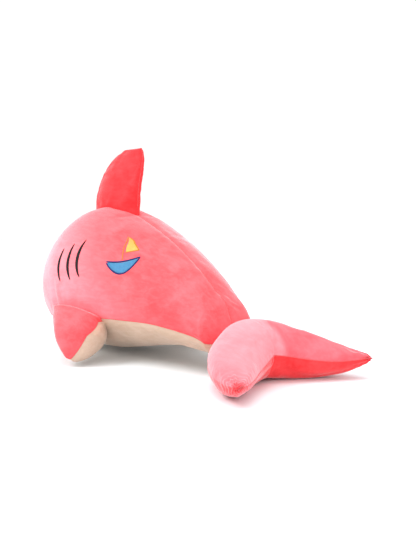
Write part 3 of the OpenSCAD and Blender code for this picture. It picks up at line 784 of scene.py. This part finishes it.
tail = {
    "span": 0.276, "middleY": 0.196, "sweep": 0.123, "chord": 0.102, "thickness": 0.088,
    "tipHeight": 0.031, "neck": 0.5, "setback": 0.007, "neckPinch": 0.006,
    "fullness": 1.85, "rightFuller": 0.2, "endCrowding": 0.6, "rings": 170, "columns": 64,
    "travel": 0.005, "lumpSize": 0.07, "lumpHeight": 0.0012,
    # lengthwise gathers at the left and right tips, rings round the left tip, a fold in the right
    # lobe near the neck and the shoulder over the neck: heights in metres, the rest in half spans
    "gathers": (0.0018, 0.0009), "ringHeight": 0.0004, "ringSpacing": 0.045,
    "foldDepth": 0.0022, "foldPlace": 0.17, "foldWidth": 0.03, "shoulder": 0.005, "shoulderReach": 0.3,
    "seamDepth": 0.0018, "seamWidth": 0.005, "pucker": 0.0006, "threadCover": 0.0018,
}


def tailFullness(s):
    # the right lobe stays full nearer to its tip than the left one
    power = tail["fullness"] + tail["rightFuller"] * np.tanh(4 * s)
    return np.maximum(0, 1 - np.abs(s) ** power) ** 0.75


def tailLine(s):
    # a crescent: straight across, swept back at the tips and lifted at their ends
    pinch = np.maximum(0, 1 - (s / tail["neck"]) ** 2) ** 2
    return np.stack([-tail["span"] / 2 * s,
                     tail["middleY"] + tail["sweep"] * np.abs(s) ** 1.5 + tail["setback"] * pinch,
                     tail["thickness"] / 2 * tailFullness(s) + tail["tipHeight"] * np.abs(s) ** 5.5], -1)


def tailGrid():
    # oval sections square to the crescent, crowded at its tips and narrower at the neck
    u = np.linspace(0, 1, tail["rings"])
    crowding = tail["endCrowding"]
    s = (-np.cos(math.pi * u) * crowding + (2 * u - 1) * (1 - crowding))[:, None]
    a = np.linspace(0, 2 * math.pi, tail["columns"], endpoint=False)[None]
    line = tailLine(s)
    step = 0.01
    run = unitRows(tailLine(np.minimum(1, s + step)) - tailLine(np.maximum(-1, s - step)))
    across = unitRows(np.stack([run[..., 1], -run[..., 0], 0 * run[..., 0]], -1))
    pinch = np.maximum(0, 1 - (s / tail["neck"]) ** 2) ** 2
    half = tail["chord"] / 2 * tailFullness(s) - tail["neckPinch"] * pinch
    thick = tail["thickness"] / 2 * tailFullness(s)
    up = np.array([0, 0, 1.0])
    return line + (half * np.cos(a))[..., None] * across + (thick * np.sin(a))[..., None] * up, s


tailSkin, tailShare = tailGrid()
tailMid = tail["columns"] // 2
heldTail = np.zeros(tailSkin.shape[:2])
heldTail[:, [0, tailMid]] = 1.0
heldTail[:2], heldTail[-2:] = 1.0, 1.0
tailSkin = blown(tailSkin, heldTail, tail["travel"], "tailCloth")
tailSkin[..., 2] = np.maximum(tailSkin[..., 2], 0.0004)
n = gridNormals(tailSkin, True)
facing = np.sign((n * (tailSkin - tailSkin.mean(1, keepdims=True))).sum(-1).mean())
a = np.linspace(0, 2 * math.pi, tail["columns"], endpoint=False)[None]
lump = softNoise(tailSkin, tail["lumpSize"], 51, 2) * tail["lumpHeight"]
tips = smooth(np.abs(tailShare), 0.72, 0.97) * (1 - smooth(np.abs(tailShare), 0.985, 1.0))
gathers = np.where(tailShare < 0, *tail["gathers"]) * np.sin(9 * a + 2 * np.sin(3 * a)) * tips
rings = tail["ringHeight"] * np.sin(2 * math.pi * np.abs(tailShare) / tail["ringSpacing"]) \
    * smooth(-tailShare, 0.7, 0.9)
folds = -tail["foldDepth"] * np.exp(-((tailShare - tail["foldPlace"]) / tail["foldWidth"]) ** 2) \
    * np.maximum(0, np.sin(a + 0.4)) ** 2 * smooth(np.cos(a), -0.1, 0.5)
shoulder = tail["shoulder"] * np.exp(-(tailShare / tail["shoulderReach"]) ** 2) \
    * np.maximum(0, np.sin(a - 0.5)) ** 2
tailSkin = tailSkin + n * (facing * (lump + gathers + rings + folds + shoulder))[..., None]
hidden = smooth(-tailShare, 0.05, 0.3)      # the pile closes over the left lobe's front seam
tailSkin = sewn(tailSkin, [0, tailMid], tail["seamDepth"] * facing, tail["seamWidth"], tail["pucker"],
                shown=[1 - 0.6 * hidden, 1 - hidden])
tailSkin[..., 2] = np.maximum(tailSkin[..., 2], 0.0002)
tailSkin[0], tailSkin[-1] = tailSkin[0].mean(0), tailSkin[-1].mean(0)
tailTop, tailUnder = twoPanels(tailSkin, "tail_skin_top", litAndShadedTailVelour, "tail_skin_under", litAndShadedUnderVelour, facing)
for piece, nodes in [(tailTop, ["tail_top", "tail_stuffing"]), (tailUnder, ["tail_under"])]:
    subdivided(piece)
    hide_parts(*nodes)
    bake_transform(piece)
print("tail fin made")


seam = {
    "radius": 0.0007, "lift": 0.0002, "step": 0.0012, "sides": 8,
    "stitch": 0.0032, "wave": 0.0002, "swell": 0.15,        # each stitch bows and swells a little
}


def seamPiece(name, path, core, node):
    # a thread along the bottom of a seam's valley, with the stitch's small waves; core is the
    # point or the line inside the piece that the thread faces away from
    length = runLength(path)[-1]
    count = max(40, int(length / seam["step"]))
    core = linePath(path, count, np.broadcast_to(core, path.shape))
    path = linePath(path, count)
    up = unitRows(path - core)
    turn = np.linspace(0, length, count) * 2 * math.pi / seam["stitch"]
    grid = tubeGrid(path + up * (seam["lift"] + seam["wave"] * np.sin(turn))[:, None],
                    seam["radius"] * (1 - seam["swell"] + seam["swell"] * np.cos(turn)), seam["sides"], up)
    piece = gridPiece(name, grid, seamThread, wrapAcross=True)
    fixNormals(piece)
    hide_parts(node)
    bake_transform(piece)


def fixNormals(piece):
    build = bmesh.new()
    build.from_mesh(piece.data)
    bmesh.ops.recalc_face_normals(build, faces=build.faces)
    build.to_mesh(piece.data)
    build.free()


for name, column in [("back_seam", 0), ("belly_seam_left", side), ("belly_seam_right", side + belly)]:
    line = bodySkin[2:-2, column]
    axis = np.stack([0 * line[:, 0], line[:, 1], np.full(len(line), 0.11)], 1)
    seamPiece(name + "_thread", line, axis, name)

dorsalLine = np.concatenate([dorsalSkin[6:-1, half], dorsalSkin[-2:5:-1, 0]])
seamPiece("dorsal_seam_thread", dorsalLine, np.array(dorsal["hinge"]) + [0, 0.01, 0.02],
          "dorsal_seam")

for number, name in [(1, "left"), (-1, "right")]:
    skin = pectoralSkins[number]
    mid = pectoral["columns"] // 2
    line = np.concatenate([skin[9:-1, mid], skin[-2:8:-1, 0]])
    hx, hy, hz = pectoral["hinge"]
    node = "pectoral_" + name
    seamPiece(node + "_seam_thread", line, np.array([number * hx, hy, hz]) + [0, 0.012, -0.012],
              node + "_seam")

tailEdge = np.concatenate([tailSkin[1:-1, 0], tailSkin[-1:, 0], tailSkin[-2:0:-1, tailMid]])
tailCore = np.concatenate([tailSkin[1:-1].mean(1), tailSkin[-1:].mean(1) - [-0.01, 0, 0],
                           tailSkin[-2:0:-1].mean(1)])
covered = np.concatenate([0 * hidden[1:-1], 0 * hidden[-1:], hidden[-2:0:-1]])
tailEdge = tailEdge - tail["threadCover"] * covered * unitRows(tailEdge - tailCore)
seamPiece("tail_seam_thread", tailEdge, tailCore,
          "tail_seam")
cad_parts["tail_root_seam"].data.materials.clear()
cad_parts["tail_root_seam"].data.materials.append(seamThread)
print("seams made")


stitches = {
    # places on the flank, as distance along the body and height
    "gillTops": [(-0.149, 0.189), (-0.125, 0.198), (-0.102, 0.205)],
    "gillBottoms": [(-0.140, 0.131), (-0.112, 0.135), (-0.090, 0.141)],
    "gillBow": 0.008, "gillWidth": 0.0042, "gillLift": 0.0010, "sink": 0.0003,
    # the boat's front end, and its own rearward and upward directions on the flank
    "boatOrigin": (-0.039, 0.169), "boatP": (0.84, 0.14), "boatQ": (-0.38, 0.84),
}
# the boat laid out flat, in millimetres rearward and upward from the hull's front end, with
# the stitches' half widths and heights in metres
boat = {
    "hullLength": 60, "hullDepth": 25, "sheer": 4, "inset": 0.03, "hem": 0.8,
    "mast": ([31.5, 24.0], [-1.5, 45.5]), "peak": (25.4, 43.0), "tack": (33.0, 13.5),
    "clew": (54.5, 14.8), "peakWidth": 0.8, "leechBow": 1.5,
    "foot": ([32.4, 54], [13.2, 14.5]), "lineWidth": 0.0006, "outlineWidth": 0.0014,
    "fillHeight": 0.0009, "lineHeight": 0.0011, "outlineHeight": 0.0013,
}


def ontoSkin(grid, side):
    # points slid sideways onto the finished flank
    flank = skinLeft if side > 0 else skinRight
    start = np.broadcast_to(np.array([side * 0.2, 0, 0]), grid.shape) + grid * [0, 1, 1]
    carrier = gridPiece("carrier", start, blackSatin, uv=False, merge=0)
    lay = carrier.modifiers.new("lay", "SHRINKWRAP")
    lay.target, lay.wrap_method = flank, "PROJECT"
    lay.use_project_x, lay.use_negative_direction, lay.use_positive_direction = True, side > 0, side < 0
    result = carrier.evaluated_get(bpy.context.evaluated_depsgraph_get()).to_mesh()
    placed = np.empty(len(result.vertices) * 3)
    result.vertices.foreach_get("co", placed)
    bpy.data.objects.remove(carrier, do_unlink=True)
    return placed.reshape(grid.shape)


def patchPiece(name, low, high, side, material, height, *nodes, rows=14):
    # satin stitch between two lines on the flank, crowned across and sunk at its rim
    f = np.linspace(0, 1, rows)[:, None, None]
    flat = low[None] * (1 - f) + high[None] * f
    flat = np.concatenate([np.zeros(flat.shape[:2] + (1,)), flat], -1)
    placed = ontoSkin(flat, side)
    n = gridNormals(placed)
    n = n * np.sign((n[..., :1] * side).sum())
    g = np.abs(np.linspace(-1, 1, rows))[:, None]
    h = np.abs(np.linspace(-1, 1, low.shape[0]))[None]
    crown = np.sqrt(np.clip(1 - g ** 4, 0, 1)) * np.sqrt(np.clip(1 - h ** 8, 0, 1))
    raised = placed + n * ((height * crown - stitches["sink"])[..., None])
    piece = gridPiece(name, raised, material)
    mesh = piece.data
    facing = np.empty(len(mesh.polygons) * 3)
    mesh.polygons.foreach_get("normal", facing)
    if (facing.reshape(-1, 3)[:, 0] * side).sum() < 0:
        mesh.flip_normals()
    subdivided(piece)
    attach(piece, "torso")
    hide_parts(*nodes)


def satinLine(name, path, widths, side, material, height, *nodes):
    # a narrow patch, its two edges either side of a path on the flank
    run = unitRows(np.gradient(path, axis=0))
    off = np.stack([-run[:, 1], run[:, 0]], 1) * np.broadcast_to(widths, len(path))[:, None]
    patchPiece(name, path - off, path + off, side, material, height, *nodes, rows=8)


gillSteps = np.linspace(0, 1, 40)
for number, place in enumerate(["front", "middle", "rear"]):
    (y0, z0), (y1, z1) = stitches["gillTops"][number], stitches["gillBottoms"][number]
    y = y0 + (y1 - y0) * gillSteps - stitches["gillBow"] * np.sin(math.pi * gillSteps)
    z = z0 + (z1 - z0) * gillSteps
    width = stitches["gillWidth"] * (0.15 + 0.85 * np.sin(math.pi * gillSteps) ** 0.7)
    for flankSide, name in [(1, "left"), (-1, "right")]:
        satinLine("gill_stitch_%s_%s" % (name, place), np.stack([y, z], 1), width, flankSide,
                  blackSatin, stitches["gillLift"], "gill_%s_%s" % (name, place))


def onFlank(p, q):
    # the boat laid out flat: p forward to rear, q upward, from the hull's front end
    o, bp, bq = stitches["boatOrigin"], stitches["boatP"], stitches["boatQ"]
    p, q = np.asarray(p, float) * 0.001, np.asarray(q, float) * 0.001
    return np.stack([o[0] + p * bp[0] + q * bq[0], o[1] + p * bp[1] + q * bq[1]], -1)


def hullLine(steps, depth, power=1.0):
    # an arc of a sine wave under the line between the hull's two ends
    return boat["hullLength"] * steps, -depth * np.abs(np.sin(math.pi * steps)) ** power


hullSteps = np.linspace(0, 1, 60)
hullInner = boat["inset"] + (1 - 2 * boat["inset"]) * hullSteps
deck = onFlank(*hullLine(hullInner, boat["sheer"]))
keel = onFlank(*hullLine(hullInner, boat["hullDepth"], 0.75))
patchPiece("boat_stitch_hull", keel, deck, 1, blueSatin, boat["fillHeight"], "boat_hull")
keelP, keelQ = hullLine(hullSteps, boat["hullDepth"], 0.75)
deckP, deckQ = hullLine(hullSteps[::-1], boat["sheer"])
keelEdge, deckEdge = onFlank(keelP, keelQ - boat["hem"]), onFlank(deckP, deckQ + boat["hem"])
satinLine("boat_stitch_outline", linePath(np.concatenate([keelEdge, deckEdge, keelEdge[:1]]), 160),
          boat["outlineWidth"], 1, navySatin, boat["outlineHeight"], "boat_outline")
satinLine("boat_stitch_mast", linePath(onFlank(*boat["mast"]), 40), boat["lineWidth"], 1, ochreSatin,
          boat["lineHeight"], "boat_mast")


def sailLine(low, top, bow):
    # from a lower corner to the peak, bowed rearward
    p = low[0] + (top[0] - low[0]) * sailSteps + bow * np.sin(math.pi * sailSteps)
    return onFlank(p, low[1] + (top[1] - low[1]) * sailSteps)


sailSteps = np.linspace(0, 1, 40)
peak = boat["peak"]
luff = sailLine(boat["tack"], peak, 1.0)
leech = sailLine(boat["clew"], (peak[0] + boat["peakWidth"], peak[1]), boat["leechBow"])
patchPiece("boat_stitch_sail", leech, luff, 1, yellowSatin, boat["fillHeight"], "boat_sail")
foot = onFlank(*boat["foot"])
satinLine("boat_stitch_sail_edge", linePath(np.concatenate([foot, leech + [0.0004, 0]]), 110),
          boat["lineWidth"], 1, ochreSatin, boat["lineHeight"], "boat_sail_edge")
print("embroidery made")


for nodeName in ["eye_left", "eye_right"]:
    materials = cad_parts[nodeName].data.materials
    materials.clear()
    materials.append(eyePlastic)

mouth = {
    "width": 0.0011, "lift": 0.0006, "flatness": 0.6, "steps": 120, "sides": 10,
    "place": 0.10, "sweep": 0.09, "halfAngle": 82,      # along the body at its middle, and its corners
    "core": (0.03, 0.115),
}
# a line round the underside, further back towards its corners by the angle squared
k = np.linspace(-1, 1, mouth["steps"])
mouthPath = bodyPoint(mouth["place"] + mouth["sweep"] * k ** 2, -90 + mouth["halfAngle"] * k)
mouthCore = np.stack([0 * k, mouthPath[:, 1] + mouth["core"][0], np.full(len(k), mouth["core"][1])], 1)
mouthUp = unitRows(mouthPath - mouthCore)
mouthGrid = tubeGrid(mouthPath + mouthUp * mouth["lift"], mouth["width"], mouth["sides"], mouthUp,
                     mouth["flatness"])
mouthPiece = gridPiece("mouth_stitch", mouthGrid, blackSatin, wrapAcross=True)
fixNormals(mouthPiece)
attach(mouthPiece, "torso")
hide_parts("mouth_line")
print("face made")


studio = {
    "azimuth": 139.0, "elevation": 5.0, "distance": 1.2, "lens": 45.8,
    "target": (-0.052, 0.042, 0.141), "world": 1.06, "floorSize": 6.0, "floorFade": (0.5, 1.6),
    # each lamp's place, where it points, its width and its power
    "lamps": {
        "key_light": ((1.4, -0.6, 1.7), (0, 0, 0.12), 1.2, 30),
        "top_light": ((0.2, 0.4, 2.2), (0, 0, 0.1), 1.8, 22),
        "fill_light": ((0.9, 1.9, 0.9), (0, 0, 0.12), 1.4, 10),
    },
}

floorFinish = Finish("studio_floor")
grain = floorFinish.noise(floorFinish.place(), 40.0, 2.0)
away = floorFinish.add("ShaderNodeVectorMath", {"operation": "LENGTH"}, {0: floorFinish.place()}, out=1)
nearColour = floorFinish.blend(grain, (0.79, 0.85, 0.875, 1), (0.80, 0.86, 0.885, 1))
floorMaterial = floorFinish.finish(
    Base_Color=floorFinish.blend(away.between(*studio["floorFade"]), nearColour, (0.95, 0.98, 1.0, 1)),
    Roughness=grain * 0.1 + 0.8)
floorCorners = np.array([[-1, -1, 0], [1, -1, 0], [1, 1, 0], [-1, 1, 0]]) * studio["floorSize"]
floor = meshObject("studio_floor", floorCorners, [(0, 1, 2, 3)])
floor.data.materials.append(floorMaterial)


def lamp(name, place, aim, size, power):
    # a round soft light that points at a place
    light = bpy.data.lights.new(name, "AREA")
    light.shape, light.size, light.energy = "DISK", size, power
    lampObject = bpy.data.objects.new(name, light)
    bpy.context.scene.collection.objects.link(lampObject)
    lampObject.location = place
    lampObject.rotation_euler = (Vector(aim) - Vector(place)).to_track_quat("-Z", "Y").to_euler()


for name, values in studio["lamps"].items():
    lamp(name, *values)

world = bpy.data.worlds.new("studio")
world.use_nodes = True
world.node_tree.nodes["Background"].inputs[0].default_value = (1, 1, 1, 1)
world.node_tree.nodes["Background"].inputs[1].default_value = studio["world"]
bpy.context.scene.world = world
bpy.context.scene.view_settings.view_transform = "Standard"

cameraData = bpy.data.cameras.new("camera")
cameraData.lens = studio["lens"]
camera = bpy.data.objects.new("camera", cameraData)
bpy.context.scene.collection.objects.link(camera)
az, el = math.radians(studio["azimuth"]), math.radians(studio["elevation"])
back = Vector((math.sin(az) * math.cos(el), -math.cos(az) * math.cos(el), math.sin(el)))
camera.location = Vector(studio["target"]) + back * studio["distance"]
camera.rotation_euler = (-back).to_track_quat("-Z", "Y").to_euler()
bpy.context.scene.camera = camera
print("studio made")
